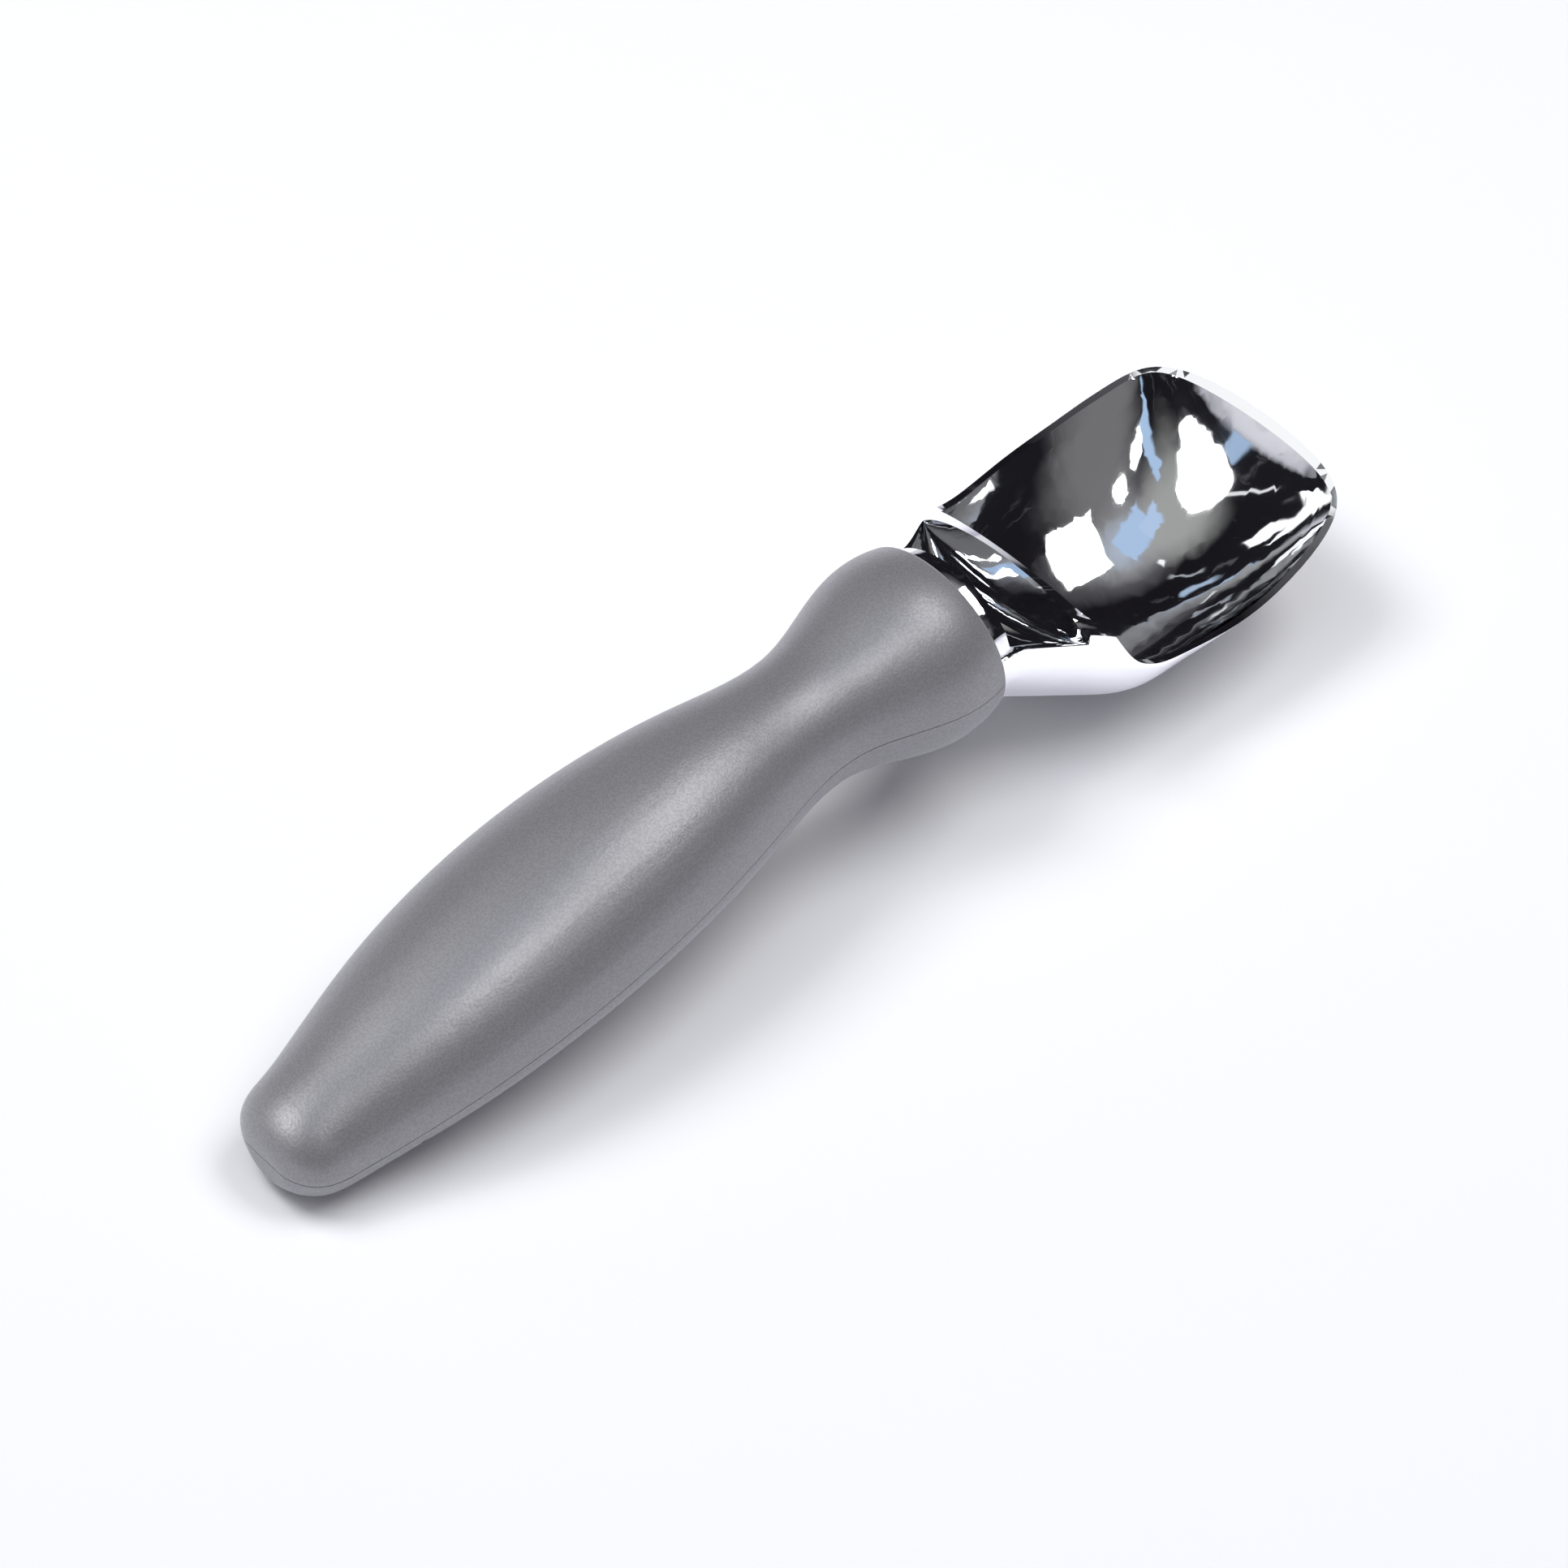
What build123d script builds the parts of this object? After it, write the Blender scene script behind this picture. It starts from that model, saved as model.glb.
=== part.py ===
from build123d import *
from collections import namedtuple
from math import cos, pi, radians, sin, sqrt, tan
import os

# Driving dimensions, in millimetres. The scoop lies along X with the butt of its grip at the low end,
# and heights are measured from the table that it rests on.
grip_length = 114.0
head_length = 61.7

# Grip outline: share of the grip's length, half width, height above and depth below the seam, and the
# height of the seam
GripSection = namedtuple("GripSection", "share half_width rise drop seam")
butt = GripSection(0.057, 9.1, 8.1, 6.1, 6.1)
heel = GripSection(0.092, 10.0, 8.9, 6.5, 7.0)
rear_swell = GripSection(0.192, 12.75, 10.7, 8.1, 10.2)
belly = GripSection(0.415, 14.95, 12.8, 10.0, 15.6)
taper = GripSection(0.655, 11.6, 11.0, 10.5, 19.4)
waist = GripSection(0.799, 9.65, 9.5, 9.3, 20.9)
wing = GripSection(0.925, 13.8, 13.1, 12.8, 21.2)
lip = GripSection(0.985, 13.4, 12.5, 12.0, 21.2)
mouth = GripSection(1.04, 11.3, 10.6, 9.9, 21.2)
grip_sections = (butt, heel, rear_swell, belly, taper, waist, wing, lip, mouth)
mouth_rake = 6.0
mouth_setback = 0.6
butt_crown = 9.5
lip_rounding = 1.0

# Walls inside the grip, and the core between them
shell_wall = 2.4
moulding_gap = 0.1
core_start = 26.0
core_sides = 8

# Notch under the butt
notch_wall_station = 14.0
notch_peak_station = 16.0
notch_ramp_end = 25.0
notch_below_seam = 1.0

# Hull of the head: share of the head's length, half width at the widest level, that level, rise above it,
# height of the underside, and fullness, which is 1 for an elliptical underside and 0 for a parabolic one
HullSection = namedtuple("HullSection", "share half_width level rise underside fullness")
hull_sections = (
    HullSection(-0.08, 11.9, 21.2, 10.2, 10.3, 1.0),
    HullSection(0.0, 11.95, 21.2, 10.2, 9.9, 1.0),
    HullSection(0.0555, 12.3, 21.1, 9.6, 8.6, 1.0),
    HullSection(0.111, 13.4, 20.8, 8.0, 6.6, 1.0),
    HullSection(0.19, 16.3, 19.8, 6.5, 4.2, 0.9),
    HullSection(0.288, 19.7, 16.4, 6.8, 1.75, 0.7),
    HullSection(0.404, 20.9, 14.5, 6.6, 0.34, 0.45),
    HullSection(0.522, 21.75, 14.7, 7.0, 0.0, 0.25),
    HullSection(0.64, 22.0, 15.2, 8.0, 0.8, 0.15),
    HullSection(0.757, 21.6, 16.6, 8.0, 3.7, 0.15),
    HullSection(0.865, 20.6, 18.6, 8.0, 8.9, 0.15),
    HullSection(0.952, 18.2, 21.5, 8.0, 15.9, 0.15),
    HullSection(1.03, 15.0, 32.0, 8.0, 26.6, 0.15),
)
side_wall = 1.0
floor_wall = 2.0
front_wall = 1.0

# Rim of the bowl in side view, as share of the head's length and height
rim_points = (
    (0.195, 29.0),
    (0.2235, 24.4),
    (0.254, 20.2),
    (0.284, 17.4),
    (0.336, 15.6),
    (0.424, 14.8),
    (0.522, 14.7),
    (0.62, 15.0),
    (0.698, 15.6),
    (0.776, 16.6),
    (0.854, 17.9),
    (0.933, 19.8),
    (1.01, 21.9),
    (1.07, 23.6),
)

# Ridge at the back of the bowl, and the trough between it and the shoulder at the collar
ridge_share = 0.187
ridge_thickness = 0.9
ridge_peak = 26.3
back_wall_slope = 64.0
back_wall_rounding = 2.0
shoulder_land = 1.5
trough_floor = 15.4
trough_edge = 22.1
trough_edge_lift = 2.6
trough_rounding = 3.6
trough_side_wall = 1.1

# Plug and tang that hold the head in the grip
mouth_gap = 0.35
plug_step = 1.5
plug_length = 6.0
plug_gap = 0.15
tang_length = 56.0
tang_width = 9.0
tang_root_height = 8.0
tang_end_height = 6.0
tang_fall = 3.2
tang_notches = 3
tang_notch_depth = 1.2
tang_notch_length = 6.0

# Places worked out from the driving dimensions
neck = hull_sections[1]
overall_length = grip_length + head_length
plug_width = neck.half_width - plug_step
plug_rise = neck.rise - plug_step
plug_drop = neck.level - neck.underside - plug_step
sky = 60.0
far_side = 40.0


def at(station):
    """X of a point that lies station millimetres from the butt."""
    return station - overall_length / 2


def grip_x(section):
    return at(section.share * grip_length)


def head_x(share):
    return at(grip_length + share * head_length)


def across(x):
    """Plane square to the scoop's length, with its own X along Y and its own Y up."""
    return Plane(origin=(x, 0, 0), x_dir=(0, 1, 0), z_dir=(1, 0, 0))


side_view = Plane(origin=(0, 0, 0), x_dir=(1, 0, 0), z_dir=(0, -1, 0))


def rounded_butt():
    """Sections of the rounded end, as shares of the grip's length, that lead up to the butt section."""
    reach = butt.share * grip_length
    rows = []
    for angle in (16, 32, 60):
        turn = radians(angle)
        back = reach * (1 - cos(turn) / cos(radians(16)))
        crown = sqrt(1 - (1 - (back + 0.3) / butt_crown) ** 2)
        half_width = butt.half_width * sin(turn) ** 0.75
        drop = butt.drop * sqrt(sin(turn))
        rows.append(GripSection(back / grip_length, half_width, butt.rise * crown, drop, butt.seam))
    return rows


def core_loft(inset, start, end):
    """Flat-sided body along the middle of the grip, drawn in by inset, from start to end along X."""
    with BuildPart() as body:
        for section in grip_sections[1:]:
            half_width = section.half_width - inset
            corners = []
            for step in range(core_sides):
                angle = 2 * pi * (step + 0.5) / core_sides
                reach = section.rise if angle < pi else section.drop
                corners.append((half_width * cos(angle), section.seam + (reach - inset) * sin(angle)))
            with BuildSketch(across(grip_x(section))):
                with BuildLine():
                    Polyline(corners, close=True)
                make_face()
        loft(ruled=True)
        with Locations(((start + end) / 2, 0, 0)):
            Box(end - start, 2 * far_side, 4 * far_side, mode=Mode.INTERSECT)
    return body.part


def mouth_cutter(gap):
    """Everything ahead of the raked mouth plane, moved ahead by gap."""
    lean = (sky - neck.level) * tan(radians(mouth_rake))
    mouth_x = at(grip_length) - mouth_setback + gap
    with BuildPart(mode=Mode.PRIVATE) as cutter:
        with BuildSketch(side_view):
            with BuildLine():
                Polyline(
                    (mouth_x + neck.level * tan(radians(mouth_rake)), 0),
                    (mouth_x - lean, sky),
                    (mouth_x + overall_length, sky),
                    (mouth_x + overall_length, -sky),
                    (mouth_x + (neck.level + sky) * tan(radians(mouth_rake)), -sky),
                    close=True,
                )
            make_face()
        extrude(amount=far_side, both=True)
    return cutter.part


def below_seam(raise_by):
    """Everything below the seam line, which is raised by raise_by."""
    points = [(grip_x(section), section.seam + raise_by) for section in grip_sections]
    with BuildPart(mode=Mode.PRIVATE) as lower:
        with BuildSketch(side_view):
            with BuildLine():
                seam = Spline(points)
                Polyline(
                    seam @ 1,
                    (points[-1][0] + far_side, points[-1][1]),
                    (points[-1][0] + far_side, -far_side),
                    (points[0][0] - far_side, -far_side),
                    (points[0][0] - far_side, points[0][1]),
                    seam @ 0,
                )
            make_face()
        extrude(amount=far_side, both=True)
    return lower.part


def hull_outline(section):
    """Closed outline of the head at one section, inside a BuildLine block."""
    depth = section.level - section.underside
    fullness = section.fullness
    lower = []
    for step in range(-6, 7):
        share = sin(step * pi / 12)
        root = sqrt((1 + fullness) ** 2 - 4 * fullness * share**2)
        height = ((1 + fullness) - root) / (2 * fullness)
        lower.append((section.half_width * share, section.underside + depth * height))
    under = Spline(lower)
    upper = []
    for step in range(13):
        angle = step * pi / 12
        upper.append((section.half_width * cos(angle), section.level + section.rise * sin(angle)))
    Spline(upper, tangents=[(0, 1), (0, -1)])
    return under


def open_outline(half_width, level, floor, fullness, flat):
    """Outline of a hollow with a bowed floor, open to the sky, with a flat of the given width beside it."""
    lower = []
    for step in range(-6, 7):
        share = sin(step * pi / 12)
        root = sqrt((1 + fullness) ** 2 - 4 * fullness * share**2)
        lower.append((half_width * share, floor + (level - floor) * ((1 + fullness) - root) / (2 * fullness)))
    Spline(lower)
    if flat > 0:
        Line((half_width, level), (half_width + flat, level))
        Line((-half_width, level), (-half_width - flat, level))
    Polyline(
        (half_width + flat, level),
        (half_width + flat, sky),
        (-half_width - flat, sky),
        (-half_width - flat, level),
    )


def hull_half_width(share):
    """Half width of the hull between two of its sections."""
    for near, far in zip(hull_sections, hull_sections[1:]):
        if near.share <= share <= far.share:
            part = (share - near.share) / (far.share - near.share)
            return near.half_width + part * (far.half_width - near.half_width)
    return hull_sections[-1].half_width


with BuildPart() as hull:
    for section in hull_sections:
        with BuildSketch(across(head_x(section.share))):
            with BuildLine():
                hull_outline(section)
            make_face()
    loft()

# Hollow of the bowl: the hull drawn in by its walls, behind the slope that rises to the ridge
back_wall_x = head_x(ridge_share) + ridge_thickness
back_wall_run = (ridge_peak + 4) / tan(radians(back_wall_slope))
with BuildPart() as bowl_hollow:
    for index in range(4, len(hull_sections)):
        section = hull_sections[index]
        before = hull_sections[index - 1]
        after = hull_sections[min(index + 1, len(hull_sections) - 1)]
        rise = (after.underside - before.underside) / (head_length * (after.share - before.share))
        thinning = max(0, section.share - 0.6) / 0.4
        wall = floor_wall - (floor_wall - front_wall) * min(1, thinning)
        floor = section.underside + wall * sqrt(1 + rise**2)
        with BuildSketch(across(head_x(section.share))):
            with BuildLine():
                open_outline(section.half_width - side_wall, section.level, floor, section.fullness, 0)
            make_face()
    loft()
    with BuildSketch(side_view):
        with BuildLine():
            Polyline(
                (back_wall_x - back_wall_run, 2 * ridge_peak + 4),
                (back_wall_x + back_wall_run, -4),
                (back_wall_x - far_side, -4),
                (back_wall_x - far_side, 2 * ridge_peak + 4),
                close=True,
            )
        make_face()
    extrude(amount=far_side, both=True, mode=Mode.SUBTRACT)
    back_wall_tilt = radians(back_wall_slope)
    facing_back = Vector(-sin(back_wall_tilt), 0, -cos(back_wall_tilt))
    back_wall = bowl_hollow.faces().sort_by(lambda face: face.normal_at().dot(facing_back))[-1]
    fillet(back_wall.edges().filter_by_position(Axis.Z, 0, ridge_peak), back_wall_rounding)

# Trough behind the ridge, which cuts its own level edges
trough_start = at(grip_length) + shoulder_land
trough_end = head_x(ridge_share)
trough_middle = (trough_start + trough_end) / 2
trough_straight = (trough_end - trough_start) / 2 - trough_rounding
with BuildPart() as trough:
    for angle, straight in ((0, -1), (25, -1), (50, -1), (90, 0), (130, 1), (155, 1), (180, 1)):
        x = trough_middle + straight * trough_straight - cos(radians(angle)) * trough_rounding
        floor = trough_floor + trough_rounding * (1 - sin(radians(angle)))
        half_width = hull_half_width((x - at(grip_length)) / head_length) - trough_side_wall
        edge = trough_edge + trough_edge_lift * max(0, (trough_end - x) / (trough_end - trough_start)) ** 2
        with BuildSketch(across(x)):
            with BuildLine():
                open_outline(half_width, edge, floor, 0.85, 8.0)
            make_face()
    loft()


def plug_outline(gap):
    """Outline of the plug at the back of the neck, made larger by gap, inside a BuildLine block."""
    centre = (0, neck.level)
    EllipticalCenterArc(centre, plug_width + gap, plug_rise + gap, start_angle=0, arc_size=180)
    EllipticalCenterArc(centre, plug_width + gap, plug_drop + gap, start_angle=180, arc_size=180)


plug_back = at(grip_length) - plug_length

with BuildPart() as tang:
    for share in (0, 1):
        height = tang_root_height + share * (tang_end_height - tang_root_height)
        with BuildSketch(across(plug_back - share * tang_length)):
            with Locations((0, neck.level - share * tang_fall)):
                Rectangle(tang_width, height)
    loft()
    for number in range(1, tang_notches + 1):
        share = number / (tang_notches + 1)
        height = tang_root_height + share * (tang_end_height - tang_root_height)
        middle = neck.level - share * tang_fall
        x = plug_back - share * tang_length
        with Locations((x, 0, middle + height / 2), (x, 0, middle - height / 2)):
            Box(tang_notch_length, 2 * tang_width, 2 * tang_notch_depth, mode=Mode.SUBTRACT)

with BuildPart() as scoop_head:
    add(hull.part)
    add(mouth_cutter(mouth_gap), mode=Mode.INTERSECT)
    with BuildSketch(side_view):
        with BuildLine():
            rim = Spline([(head_x(share), height) for share, height in rim_points])
            Polyline(rim @ 1, (head_x(1.1), sky), ((rim @ 0).X, sky), rim @ 0)
        make_face()
    extrude(amount=far_side, both=True, mode=Mode.SUBTRACT)
    add(bowl_hollow.part, mode=Mode.SUBTRACT)
    add(trough.part, mode=Mode.SUBTRACT)
    with BuildSketch(across(plug_back)):
        with BuildLine():
            plug_outline(0)
        make_face()
    extrude(amount=plug_length - mouth_setback + 2 * mouth_gap)
    add(tang.part)

# Grip: two soft shells that meet at the seam, round a rigid core
hollow_end = plug_back - moulding_gap
with BuildPart() as notch:
    with BuildSketch(side_view):
        with BuildLine():
            Polyline(
                (at(notch_wall_station), -far_side),
                (at(notch_wall_station), heel.seam - heel.drop + 0.5),
                (at(notch_peak_station), heel.seam - notch_below_seam + 0.8),
                (at(notch_ramp_end), rear_swell.seam - rear_swell.drop - 0.5),
                (at(notch_ramp_end), -far_side),
                close=True,
            )
        make_face()
    extrude(amount=far_side, both=True)

with BuildPart() as grip_body:
    for section in (*rounded_butt(), *grip_sections):
        with BuildSketch(across(grip_x(section))):
            with BuildLine():
                centre = (0, section.seam)
                EllipticalCenterArc(centre, section.half_width, section.rise, start_angle=0, arc_size=180)
                EllipticalCenterArc(centre, section.half_width, section.drop, start_angle=180, arc_size=180)
            make_face()
    loft()
    add(mouth_cutter(0), mode=Mode.SUBTRACT)
    fillet(grip_body.faces().sort_by(Axis.X)[-1].edges(), lip_rounding)
    add(core_loft(shell_wall, at(core_start), hollow_end), mode=Mode.SUBTRACT)
    with BuildSketch(across(hollow_end - moulding_gap)):
        with BuildLine():
            plug_outline(plug_gap)
        make_face()
    extrude(amount=far_side, mode=Mode.SUBTRACT)
    add(notch.part, mode=Mode.SUBTRACT)

with BuildPart() as grip_upper:
    add(grip_body.part)
    add(below_seam(moulding_gap / 2), mode=Mode.SUBTRACT)

with BuildPart() as grip_lower:
    add(grip_body.part)
    add(below_seam(-moulding_gap / 2), mode=Mode.INTERSECT)

with BuildPart() as handle_core:
    add(core_loft(shell_wall + moulding_gap, at(core_start) + moulding_gap, hollow_end - moulding_gap))
    add(tang.part, mode=Mode.SUBTRACT)

os.makedirs("parts", exist_ok=True)
scoop_head.part.label = "scoop_head"
export_step(scoop_head.part, "parts/scoop_head.step")
handle_core.part.label = "handle_core"
export_step(handle_core.part, "parts/handle_core.step")
grip_upper.part.label = "grip_upper"
export_step(grip_upper.part, "parts/grip_upper.step")
grip_lower.part.label = "grip_lower"
export_step(grip_lower.part, "parts/grip_lower.step")

for piece in (scoop_head, handle_core, grip_upper, grip_lower):
    box = piece.part.bounding_box()
    print(piece.part.label, piece.part.is_valid, len(piece.part.solids()), round(piece.part.volume), box.min, box.max)
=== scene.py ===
"""Dresses the packed ice cream scoop and stands it on a pale studio floor in soft light."""

import logging
from dataclasses import dataclass, field
from enum import Enum
from math import cos, pi, radians, sin, tan
from typing import Any, Union

import bpy
from mathutils import Matrix, Vector


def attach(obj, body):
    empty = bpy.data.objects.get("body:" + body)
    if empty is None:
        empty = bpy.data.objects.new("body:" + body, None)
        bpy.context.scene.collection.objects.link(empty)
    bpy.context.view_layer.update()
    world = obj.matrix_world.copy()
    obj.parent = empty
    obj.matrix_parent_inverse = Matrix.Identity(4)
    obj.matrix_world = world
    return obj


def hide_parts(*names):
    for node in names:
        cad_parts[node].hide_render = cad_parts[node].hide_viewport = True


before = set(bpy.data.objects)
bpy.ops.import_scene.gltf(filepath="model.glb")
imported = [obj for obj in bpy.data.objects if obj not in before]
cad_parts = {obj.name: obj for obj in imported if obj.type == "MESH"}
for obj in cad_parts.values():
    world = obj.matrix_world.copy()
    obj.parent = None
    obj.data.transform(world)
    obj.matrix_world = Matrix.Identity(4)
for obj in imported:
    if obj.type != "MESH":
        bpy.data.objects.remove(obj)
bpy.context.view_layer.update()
log = logging.getLogger("scoop")
logging.basicConfig(level=logging.INFO, format="%(message)s")

Colour = tuple[float, float, float]
Value = Union["Signal", float, tuple]

WHITE = (1.0, 1.0, 1.0, 1.0)
WELD_DISTANCE = 2e-6
BEVEL_SEGMENTS = 2
BEVEL_ANGLE = radians(35.0)


def opaque(colour: Colour, share: float = 1.0) -> tuple[float, float, float, float]:
    """A colour with its alpha, dimmed to a share of itself."""
    return (*(share * part for part in colour), 1.0)


class Signal:
    """One socket of a shader, on which plain arithmetic adds the Math nodes."""

    def __init__(self, sheet: "NodeSheet", socket: bpy.types.NodeSocket) -> None:
        """Keeps the sheet that the socket is on."""
        self.sheet = sheet
        self.socket = socket

    def __add__(self, other: Value) -> "Signal":
        """Sum of the two."""
        return self.sheet.maths("ADD", self, other)

    def __sub__(self, other: Value) -> "Signal":
        """This less the other."""
        return self.sheet.maths("SUBTRACT", self, other)

    def __rsub__(self, other: Value) -> "Signal":
        """The other less this."""
        return self.sheet.maths("SUBTRACT", other, self)

    def __mul__(self, other: Value) -> "Signal":
        """Product of the two."""
        return self.sheet.maths("MULTIPLY", self, other)

    def __truediv__(self, other: Value) -> "Signal":
        """This divided by the other."""
        return self.sheet.maths("DIVIDE", self, other)

    def __gt__(self, other: Value) -> "Signal":
        """One where this is greater, and zero elsewhere."""
        return self.sheet.maths("GREATER_THAN", self, other)

    def __lt__(self, other: Value) -> "Signal":
        """One where this is less, and zero elsewhere."""
        return self.sheet.maths("LESS_THAN", self, other)

    def most(self, other: Value) -> "Signal":
        """The larger of the two."""
        return self.sheet.maths("MAXIMUM", self, other)

    def magnitude(self) -> "Signal":
        """The value without its sign."""
        return self.sheet.maths("ABSOLUTE", self, 0.0)

    def eased(self, low: float, high: float) -> "Signal":
        """Smooth step from zero to one.

        Args:
            low: value at which the step starts.
            high: value at which the step ends.

        Returns:
            The stepped value.
        """
        node = self.sheet.node(
            "ShaderNodeMapRange",
            {"interpolation_type": "SMOOTHSTEP"},
            {"Value": self, "From Min": low, "From Max": high},
        )
        return Signal(self.sheet, node.outputs["Result"])

    __radd__ = __add__
    __rmul__ = __mul__


class NodeSheet:
    """The nodes of one material or world."""

    def __init__(self, tree: bpy.types.NodeTree) -> None:
        """Starts an empty sheet on a node tree."""
        self.tree = tree
        self.tree.nodes.clear()

    def node(self, kind: str, settings: dict[str, Any], inputs: dict[Any, Value]) -> bpy.types.Node:
        """Adds one node.

        Args:
            kind: the node's type.
            settings: its own settings; a ramp's stops are given as "stops".
            inputs: values or signals for its sockets, by name or number.

        Returns:
            The new node.
        """
        made = self.tree.nodes.new(kind)
        for name, setting in settings.items():
            if name == "stops":
                ramp = made.color_ramp
                while len(ramp.elements) < len(setting):
                    ramp.elements.new(0.5)
                for element, (place, shade) in zip(ramp.elements, setting):
                    element.position = place
                    element.color = (*shade, 1.0)
            else:
                setattr(made, name, setting)
        for name, value in inputs.items():
            if isinstance(value, Signal):
                self.tree.links.new(value.socket, made.inputs[name])
            else:
                made.inputs[name].default_value = value
        return made

    def maths(self, operation: str, first: Value, second: Value) -> Signal:
        """Adds a Math node on two values."""
        node = self.node("ShaderNodeMath", {"operation": operation}, {0: first, 1: second})
        return Signal(self, node.outputs[0])

    def place(self) -> Signal:
        """Object coordinates of the point that is shaded."""
        return Signal(self, self.node("ShaderNodeTexCoord", {}, {}).outputs["Object"])

    def axes(self, vector: Signal) -> tuple[Signal, Signal, Signal]:
        """The three parts of a vector.

        Args:
            vector: the vector to part.

        Returns:
            Its X, Y and Z.
        """
        node = self.node("ShaderNodeSeparateXYZ", {}, {0: vector})
        return tuple(Signal(self, output) for output in node.outputs[:3])

    def along(self, vector: Signal, axis: Colour) -> Signal:
        """How far a vector reaches along an axis."""
        node = self.node("ShaderNodeVectorMath", {"operation": "DOT_PRODUCT"}, {0: vector, 1: axis})
        return Signal(self, node.outputs["Value"])

    def noise(self, scale: float, detail: float, stretch: Colour = (1.0, 1.0, 1.0)) -> Signal:
        """Noise in object space.

        Args:
            scale: cells per metre.
            detail: octaves of finer noise.
            stretch: scale of the pattern along each axis.

        Returns:
            A value around one half.
        """
        spot = self.node("ShaderNodeMapping", {}, {"Vector": self.place(), "Scale": stretch})
        node = self.node(
            "ShaderNodeTexNoise",
            {},
            {"Vector": Signal(self, spot.outputs[0]), "Scale": scale, "Detail": detail, "Roughness": 0.55},
        )
        return Signal(self, node.outputs["Fac"])

    def blend(self, share: Value, first: Value, second: Value) -> Signal:
        """Mixes two colours.

        Args:
            share: zero for the first colour and one for the second.
            first: the first colour, with its alpha.
            second: the second colour, with its alpha.

        Returns:
            The mixed colour.
        """
        node = self.node("ShaderNodeMix", {"data_type": "RGBA"}, {0: share, 6: first, 7: second})
        return Signal(self, node.outputs[2])

    def bump(self, height: Signal, depth: float, strength: float) -> Signal:
        """Normal that is moved by a height.

        Args:
            height: height of the surface, from zero to one.
            depth: real depth of the relief, in metres.
            strength: share of the relief that shows.

        Returns:
            The new normal.
        """
        node = self.node("ShaderNodeBump", {}, {"Height": height, "Distance": depth, "Strength": strength})
        return Signal(self, node.outputs[0])

    def end_with(self, shader: bpy.types.Node, kind: str = "ShaderNodeOutputMaterial") -> None:
        """Makes a shader the sheet's surface.

        Args:
            shader: the node whose first output is shown.
            kind: type of the output node.
        """
        self.node(kind, {}, {"Surface": Signal(self, shader.outputs[0])})


def new_material(name: str) -> tuple[bpy.types.Material, NodeSheet]:
    """Makes a material with an empty sheet of nodes.

    Args:
        name: the material's name.

    Returns:
        The material and its sheet.
    """
    material = bpy.data.materials.new(name)
    material.use_nodes = True
    return material, NodeSheet(material.node_tree)


@dataclass(frozen=True)
class ChromePlate:
    """Polished chrome plating on a zinc casting."""

    colour: Colour = (0.86, 0.87, 0.89)
    roughness: float = 0.04
    handled_roughness: float = 0.05
    wave_depth: float = 0.00006
    waves_per_metre: float = 70.0
    dimming: float = 0.965

    def material(self) -> bpy.types.Material:
        """Builds the plating: faint casting waves under it, and faint wiping marks on it."""
        material, sheet = new_material("chrome_plate")
        wiping = sheet.noise(55.0, 3.0, (0.5, 1.6, 1.0))
        waves = sheet.noise(self.waves_per_metre, 1.0)
        tint = sheet.blend(
            sheet.noise(30.0, 2.0),
            opaque(self.colour),
            opaque(self.colour, self.dimming),
        )
        shader = sheet.node(
            "ShaderNodeBsdfPrincipled",
            {},
            {
                "Base Color": tint,
                "Metallic": 1.0,
                "Roughness": self.roughness + self.handled_roughness * wiping.eased(0.5, 0.8),
                "Normal": sheet.bump(waves, self.wave_depth, 0.6),
            },
        )
        sheet.end_with(shader)
        return material


@dataclass(frozen=True)
class SoftTouch:
    """Soft grey elastomer with a fine moulded grain."""

    colour: Colour = (0.272, 0.268, 0.284)
    worn_colour: Colour = (0.292, 0.288, 0.304)
    metallic: float = 0.36
    roughness: float = 0.42
    grain_depth: float = 0.00006
    grains_per_metre: float = 3200.0
    speckle: float = 0.34
    speckle_dimming: float = 0.6

    def material(self) -> bpy.types.Material:
        """Builds the soft finish: mottled and speckled colour, a fine grain, and shinier places where a palm rubs."""
        material, sheet = new_material("soft_touch")
        grain = sheet.noise(self.grains_per_metre, 2.0)
        handled = sheet.noise(45.0, 3.0, (0.6, 1.0, 1.0))
        tint = sheet.blend(handled.eased(0.35, 0.7), opaque(self.colour), opaque(self.worn_colour))
        speckles = self.speckle * grain.eased(0.40, 0.60)
        tint = sheet.blend(speckles, tint, opaque(self.colour, self.speckle_dimming))
        shader = sheet.node(
            "ShaderNodeBsdfPrincipled",
            {},
            {
                "Base Color": tint,
                "Metallic": self.metallic,
                "Roughness": self.roughness - 0.05 * handled.eased(0.4, 0.8) + 0.1 * (grain - 0.5),
                "Normal": sheet.bump(grain, self.grain_depth, 0.55),
            },
        )
        sheet.end_with(shader)
        return material


@dataclass(frozen=True)
class CorePlastic:
    """Rigid moulded plastic of the hidden core."""

    colour: Colour = (0.2, 0.2, 0.21)
    dimming: float = 0.85

    def material(self) -> bpy.types.Material:
        """Builds a plain moulded finish with a little flow in its colour."""
        material, sheet = new_material("core_plastic")
        flow = sheet.noise(60.0, 2.0, (0.3, 1.0, 1.0))
        tint = sheet.blend(flow, opaque(self.colour), opaque(self.colour, self.dimming))
        shader = sheet.node(
            "ShaderNodeBsdfPrincipled",
            {},
            {"Base Color": tint, "Roughness": 0.5 + 0.15 * flow, "Normal": sheet.bump(flow, 0.0001, 0.3)},
        )
        sheet.end_with(shader)
        return material


class Side(Enum):
    """The two shells of the grip, by node name."""

    UPPER = "grip_upper"
    LOWER = "grip_lower"


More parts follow.
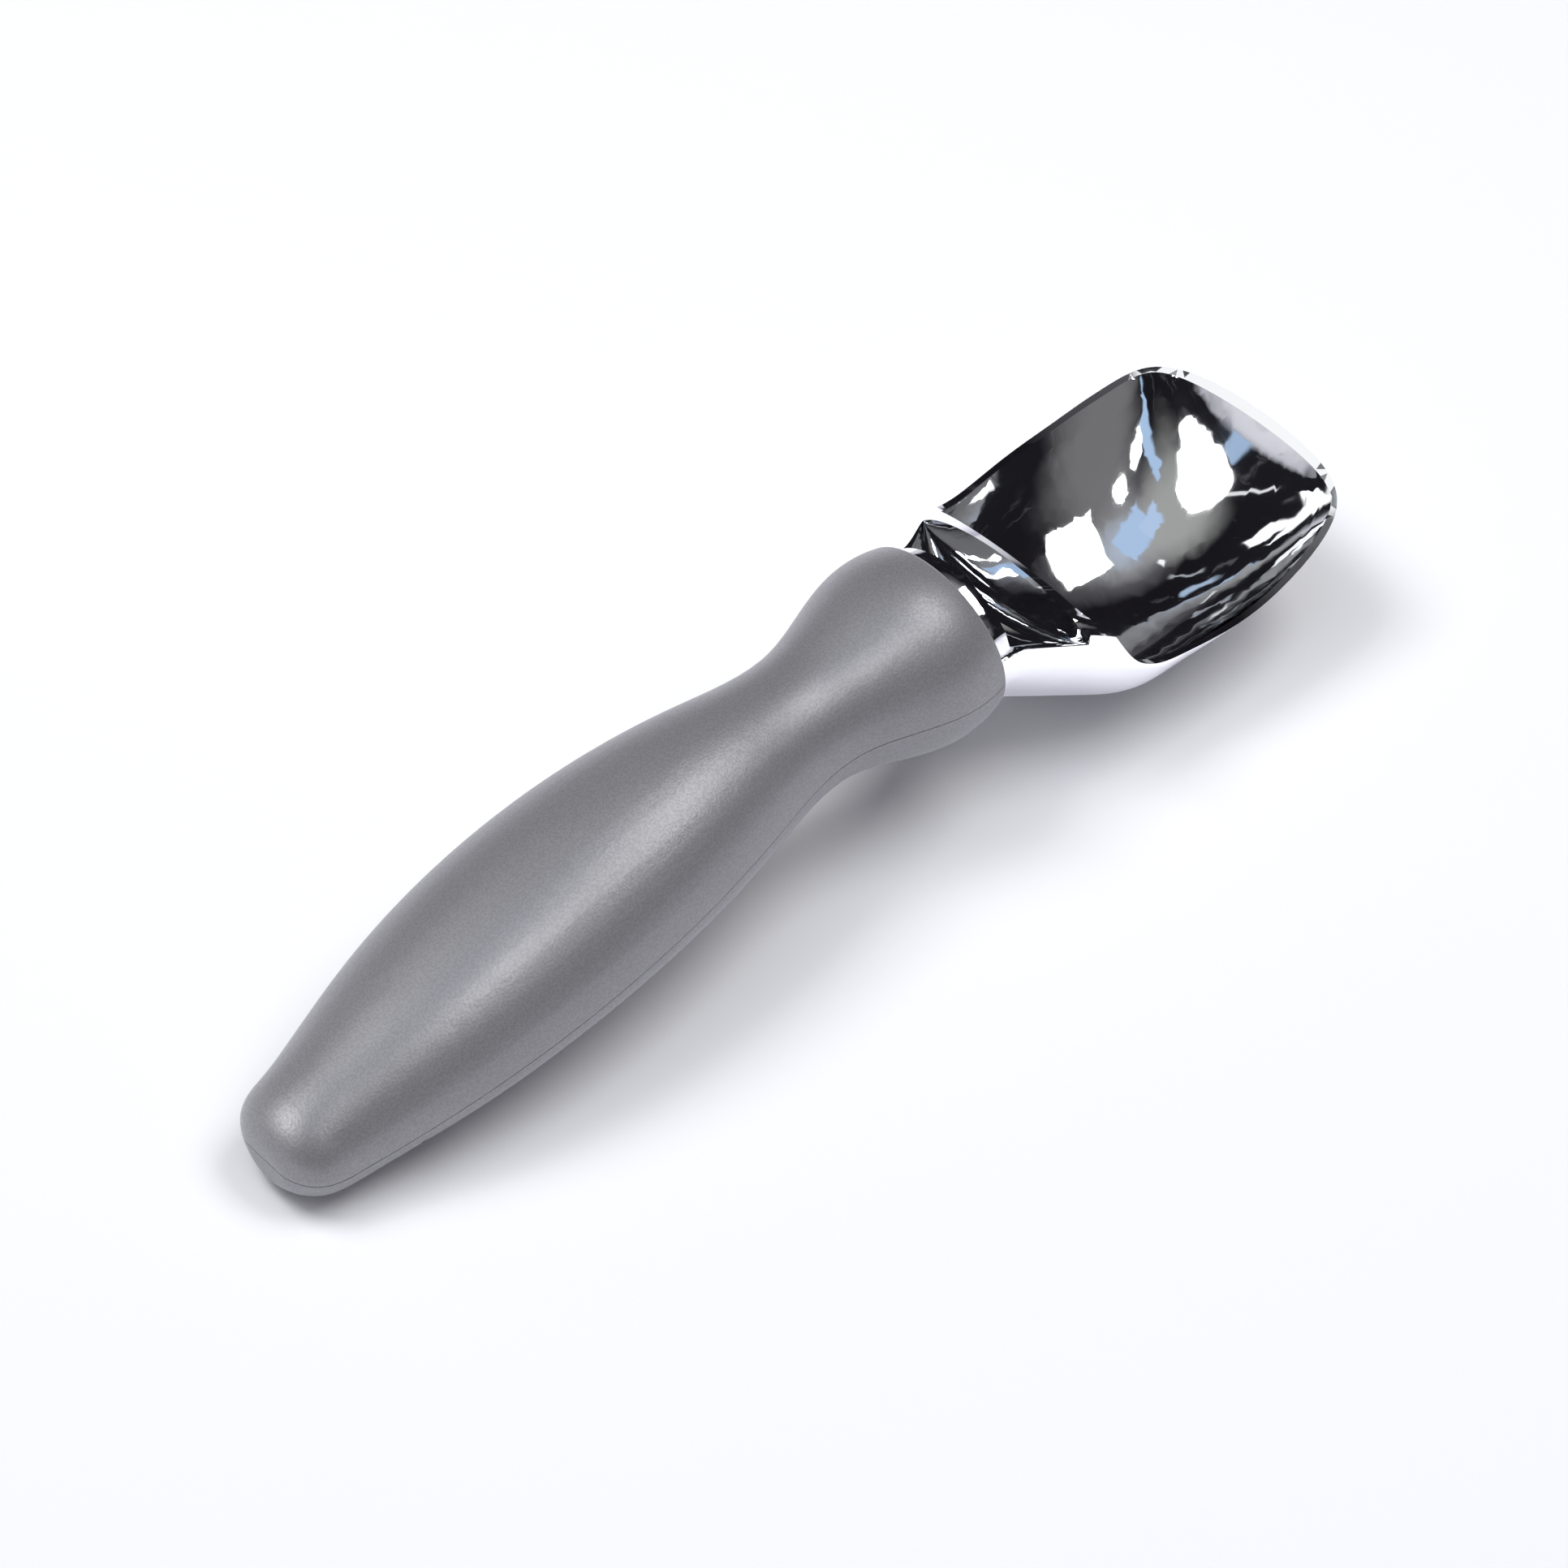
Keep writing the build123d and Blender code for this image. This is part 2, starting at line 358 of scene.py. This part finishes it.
@dataclass
class Part:
    """A sub-assembly that is dressed from CAD nodes."""

    crease: float = radians(28.0)

    def polished_copy(self, node: str, name: str, slot: str, edge: float) -> bpy.types.Object:
        """Copies a CAD node into a welded, smooth piece with softly broken edges.

        Args:
            node: the CAD node to copy and replace.
            name: name of the new piece.
            slot: the record's material slot; not used.
            edge: width of the broken edges, in metres.

        Returns:
            The new piece.
        """
        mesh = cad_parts[node].data.copy()
        mesh.materials.clear()
        piece = bpy.data.objects.new(name, mesh)
        bpy.context.scene.collection.objects.link(piece)
        bpy.ops.object.select_all(action="DESELECT")
        piece.select_set(True)
        bpy.context.view_layer.objects.active = piece
        if mesh.has_custom_normals:
            bpy.ops.mesh.customdata_custom_splitnormals_clear()
        bpy.ops.object.mode_set(mode="EDIT")
        bpy.ops.mesh.select_all(action="SELECT")
        bpy.ops.mesh.remove_doubles(threshold=WELD_DISTANCE)
        bpy.ops.object.mode_set(mode="OBJECT")
        bevel = piece.modifiers.new("broken_edges", "BEVEL")
        bevel.width = edge
        bevel.segments = BEVEL_SEGMENTS
        bevel.limit_method = "ANGLE"
        bevel.angle_limit = BEVEL_ANGLE
        bpy.ops.object.modifier_apply(modifier=bevel.name)
        bpy.ops.object.shade_smooth_by_angle(angle=self.crease)
        normals = piece.modifiers.new("weighted_normals", "WEIGHTED_NORMAL")
        normals.keep_sharp = True
        bpy.ops.object.modifier_apply(modifier=normals.name)
        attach(piece, "root")
        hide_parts(node)
        log.info("%s: %d faces", name, len(piece.data.polygons))
        return piece


@dataclass
class Head(Part):
    """Chrome-plated casting: bowl, ridge, trough and neck."""

    plate: ChromePlate = ChromePlate()
    edge: float = 0.00025

    def build(self) -> None:
        """Makes the casting and plates it."""
        casting = self.polished_copy("scoop_head", "head_casting", "chrome", self.edge)
        casting.data.materials.append(self.plate.material())


@dataclass
class Grip(Part):
    """Soft shells of the handle, and the core between them."""

    finish: SoftTouch = SoftTouch()
    core_finish: CorePlastic = CorePlastic()
    edge: float = 0.00015

    def build(self) -> None:
        """Makes the two shells in the same soft finish, and dresses the core."""
        soft = self.finish.material()
        for side in Side:
            shell = self.polished_copy(side.value, f"shell_{side.name.lower()}", "soft_grip", self.edge)
            shell.data.materials.append(soft)
        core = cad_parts["handle_core"]
        core.data.materials.clear()
        core.data.materials.append(self.core_finish.material())
        log.info("handle_core: dressed")


@dataclass(frozen=True)
class Bearing:
    """A direction from the scoop into the room, by compass angle and height, in degrees."""

    azimuth: float
    elevation: float
    spin: float = 0.0

    def axes(self) -> tuple[Vector, Vector, Vector]:
        """The axes of something that hangs there and faces the scoop.

        Returns:
            Its own right and up, and the way from the scoop to it.
        """
        turn, lift, spin = radians(self.azimuth), radians(self.elevation), radians(self.spin)
        ahead = Vector((cos(lift) * cos(turn), cos(lift) * sin(turn), sin(lift)))
        aside = Vector((-sin(turn), cos(turn), 0.0))
        above = ahead.cross(aside)
        return cos(spin) * aside + sin(spin) * above, cos(spin) * above - sin(spin) * aside, ahead


class Use(Enum):
    """What a lamp is for: to light the scene, or to be seen in polished metal and as a highlight."""

    LIGHTS = "lights"
    SHINES = "shines"
    BOTH = "both"


@dataclass(frozen=True)
class Lamp:
    """One soft box of the studio, with its size in metres and its radiance."""

    name: str
    bearing: Bearing
    distance: float
    width: float
    height: float
    radiance: float
    use: Use = Use.LIGHTS
    shape: str = "RECTANGLE"

    def hang(self, target: Vector) -> None:
        """Hangs the box so that it faces the scoop.

        Args:
            target: the point that it faces.
        """
        light = bpy.data.lights.new(self.name, "AREA")
        light.shape = self.shape
        light.size = self.width
        light.size_y = self.height
        light.energy = self.radiance * pi * self.width * self.height
        box = bpy.data.objects.new(self.name, light)
        bpy.context.scene.collection.objects.link(box)
        aside, above, ahead = self.bearing.axes()
        turn = Matrix((aside, above, ahead)).transposed().to_4x4()
        box.matrix_world = Matrix.Translation(target + self.distance * ahead) @ turn
        box.visible_glossy = self.use is not Use.LIGHTS
        box.visible_diffuse = self.use is not Use.SHINES


@dataclass(frozen=True)
class Panel:
    """A pale panel or window of the room, which polished metal shows, with its size in degrees."""

    bearing: Bearing
    width: float
    height: float
    colour: Colour
    softness: float = 0.01
    nearest: float = 0.05

    def mask(self, sheet: NodeSheet, way: Signal) -> Signal:
        """Where the panel covers the room.

        Args:
            sheet: the room's nodes.
            way: direction of the ray.

        Returns:
            One inside the panel and zero outside it.
        """
        aside, above, ahead = self.bearing.axes()
        depth = sheet.along(way, ahead)
        across = sheet.along(way, aside) / depth
        upward = sheet.along(way, above) / depth
        half_width, half_height = tan(radians(self.width / 2)), tan(radians(self.height / 2))
        inside = 1.0 - across.magnitude().eased(half_width - self.softness, half_width + self.softness)
        level = 1.0 - upward.magnitude().eased(half_height - self.softness, half_height + self.softness)
        return inside * level * (depth > self.nearest)


@dataclass(frozen=True)
class Glow:
    """A wide, soft patch of light on the room's walls, along a direction from the scoop."""

    direction: Colour
    outer: float
    inner: float
    share: float
    colour: Colour

    def over(self, sheet: NodeSheet, way: Signal, room: Signal) -> Signal:
        """Lays the glow over the room.

        Args:
            sheet: the room's nodes.
            way: direction of the ray.
            room: the room's colour so far.

        Returns:
            The room's colour with the glow.
        """
        reach = sheet.along(way, self.direction).eased(self.outer, self.inner)
        return sheet.blend(reach * self.share, room, opaque(self.colour))


@dataclass
class Studio:
    """Pale floor, plain soft light, and the camera."""

    eye: tuple[float, float, float] = (-0.28432, -0.29364, 0.45131)
    right: tuple[float, float, float] = (0.73125, -0.68200, 0.01468)
    up: tuple[float, float, float] = (0.49327, 0.54350, 0.67914)
    lens: float = 106.2
    sensor: float = 36.0
    nearest: float = 0.01
    floor_size: float = 8.0
    floor_colour: Colour = (0.86, 0.86, 0.875)
    floor_dimming: float = 0.99
    lift_colour: Colour = (0.96, 0.93, 1.10)
    floor_lift: float = 0.06
    mirrored_lift: float = 0.35
    middle: Vector = field(default_factory=lambda: Vector((0.0, 0.0, 0.012)))
    lamps: tuple[Lamp, ...] = (
        Lamp("key_box", Bearing(118.0, 60.0), 1.0, 0.42, 0.42, 8.6),
        Lamp("fill_box", Bearing(-157.0, 81.0), 1.0, 0.90, 0.90, 0.9),
        Lamp("bowl_box", Bearing(-30.0, 63.0, 24.0), 1.0, 0.62, 0.36, 6.2, Use.BOTH),
        Lamp("front_box", Bearing(154.0, 36.0), 0.9, 0.38, 0.52, 5.5, Use.SHINES, "ELLIPSE"),
        Lamp("small_box", Bearing(-114.0, 66.0), 0.9, 0.16, 0.15, 22.0, Use.SHINES, "ELLIPSE"),
        Lamp("smaller_box", Bearing(-139.0, 57.0, 35.0), 0.9, 0.18, 0.11, 6.0, Use.SHINES, "ELLIPSE"),
    )
    panels: tuple[Panel, ...] = (
        Panel(Bearing(175.0, 81.0, 10.0), 22.0, 24.0, (0.46, 0.62, 0.86), 0.02),
        Panel(Bearing(167.0, 68.0, 18.0), 11.0, 15.0, (0.50, 0.65, 0.88), 0.02),
        Panel(Bearing(-162.0, 50.0, -14.0), 20.0, 6.0, (0.45, 0.62, 0.86)),
        Panel(Bearing(112.0, 14.0), 32.0, 3.2, (1.6, 1.6, 1.6)),
        Panel(Bearing(107.0, 20.5, 35.0), 10.0, 9.0, (1.3, 1.3, 1.32)),
        Panel(Bearing(103.0, 62.0), 5.0, 4.5, (1.1, 1.1, 1.1), 0.02),
        Panel(Bearing(141.0, 24.5, -30.0), 1.6, 20.0, (0.9, 0.9, 0.9), 0.006),
        Panel(Bearing(82.0, 28.0, -40.0), 12.0, 4.5, (0.42, 0.54, 0.70), 0.02),
        Panel(Bearing(92.0, 43.0, 20.0), 2.5, 18.0, (0.40, 0.42, 0.46), 0.015),
        Panel(Bearing(153.0, 12.0), 4.0, 12.0, (0.40, 0.54, 0.74)),
    )
    walls: tuple[tuple[float, Colour], ...] = (
        (0.0, (0.85, 0.85, 0.90)),
        (0.09, (0.55, 0.55, 0.60)),
        (0.15, (0.012, 0.012, 0.016)),
        (0.76, (0.010, 0.009, 0.012)),
        (0.88, (0.10, 0.098, 0.105)),
        (0.95, (0.30, 0.30, 0.31)),
        (1.0, (0.48, 0.54, 0.64)),
    )
    clutter_colour: Colour = (0.16, 0.155, 0.165)
    clutter_share: float = 0.5
    glows: tuple[Glow, ...] = (
        Glow((-0.50, 0.26, 0.83), 0.86, 0.995, 0.9, (0.44, 0.44, 0.43)),
        Glow((-0.10, -0.72, 0.68), 0.80, 0.98, 0.85, (0.22, 0.217, 0.222)),
    )

    def set_camera(self) -> None:
        """Places the camera at the photograph's viewing angle."""
        camera = bpy.data.cameras.new("camera")
        camera.sensor_width = self.sensor
        camera.lens = self.lens
        camera.clip_start = self.nearest
        body = bpy.data.objects.new("camera", camera)
        bpy.context.scene.collection.objects.link(body)
        right = Vector(self.right).normalized()
        up = Vector(self.up).normalized()
        turn = Matrix((right, up, right.cross(up))).transposed()
        body.matrix_world = Matrix.Translation(self.eye) @ turn.to_4x4()
        bpy.context.scene.camera = body

    def lay_floor(self) -> None:
        """Lays the floor, which keeps the shadow and is a little lifted for the camera and in mirrors."""
        bpy.ops.object.select_all(action="DESELECT")
        bpy.ops.mesh.primitive_plane_add(size=self.floor_size, location=(0.0, 0.0, 0.0))
        floor = bpy.context.active_object
        floor.name = "floor"
        material, sheet = new_material("floor_white")
        rays = sheet.node("ShaderNodeLightPath", {}, {})
        seen = Signal(sheet, rays.outputs["Is Camera Ray"]) * self.floor_lift
        mirrored = Signal(sheet, rays.outputs["Is Glossy Ray"])
        mirrored = mirrored.most(Signal(sheet, rays.outputs["Is Transmission Ray"]))
        direct = Signal(sheet, rays.outputs["Diffuse Depth"]) < 0.5
        mottle = sheet.noise(3.0, 2.0)
        tint = sheet.blend(mottle, opaque(self.floor_colour), opaque(self.floor_colour, self.floor_dimming))
        paper = sheet.node("ShaderNodeBsdfDiffuse", {}, {"Color": tint})
        lift = sheet.node(
            "ShaderNodeEmission",
            {},
            {"Color": opaque(self.lift_colour), "Strength": seen + direct * mirrored * self.mirrored_lift},
        )
        both = sheet.node(
            "ShaderNodeAddShader", {}, {0: Signal(sheet, paper.outputs[0]), 1: Signal(sheet, lift.outputs[0])}
        )
        sheet.end_with(both)
        floor.data.materials.append(material)

    def light_world(self) -> None:
        """Surrounds the scoop with a dark room that is pale at the horizon and overhead, and has bright panels."""
        world = bpy.data.worlds.new("studio_room")
        world.use_nodes = True
        bpy.context.scene.world = world
        sheet = NodeSheet(world.node_tree)
        rays = sheet.node("ShaderNodeLightPath", {}, {})
        way = Signal(sheet, sheet.node("ShaderNodeTexCoord", {}, {}).outputs["Generated"])
        height = sheet.axes(way)[2]
        ramp = sheet.node("ShaderNodeValToRGB", {"stops": self.walls}, {0: height.most(0.0)})
        clutter = sheet.node(
            "ShaderNodeTexNoise",
            {},
            {"Vector": way, "Scale": 7.0, "Detail": 5.0, "Roughness": 0.6, "Distortion": 1.2},
        )
        streaks = Signal(sheet, clutter.outputs["Fac"]).eased(0.58, 0.70) * (1.0 - height.eased(0.5, 0.8))
        streaks = streaks * self.clutter_share
        room = sheet.blend(streaks, Signal(sheet, ramp.outputs[0]), opaque(self.clutter_colour))
        for glow in self.glows:
            room = glow.over(sheet, way, room)
        for panel in self.panels:
            room = sheet.blend(panel.mask(sheet, way), room, opaque(panel.colour))
        shade = sheet.blend(Signal(sheet, rays.outputs["Is Camera Ray"]), room, WHITE)
        backdrop = sheet.node("ShaderNodeBackground", {}, {"Color": shade, "Strength": 1.0})
        sheet.end_with(backdrop, "ShaderNodeOutputWorld")

    def build(self) -> None:
        """Sets up the camera, the floor, the room and the lamps."""
        self.set_camera()
        self.lay_floor()
        self.light_world()
        for lamp in self.lamps:
            lamp.hang(self.middle)
        bpy.context.scene.view_settings.view_transform = "Standard"
        log.info("studio: %d lamps", len(self.lamps))


def main() -> None:
    """Builds the studio and the scoop, and logs the pieces' face counts and the number of lamps."""
    Studio().build()
    Head().build()
    Grip().build()


if __name__ == "__main__":
    main()
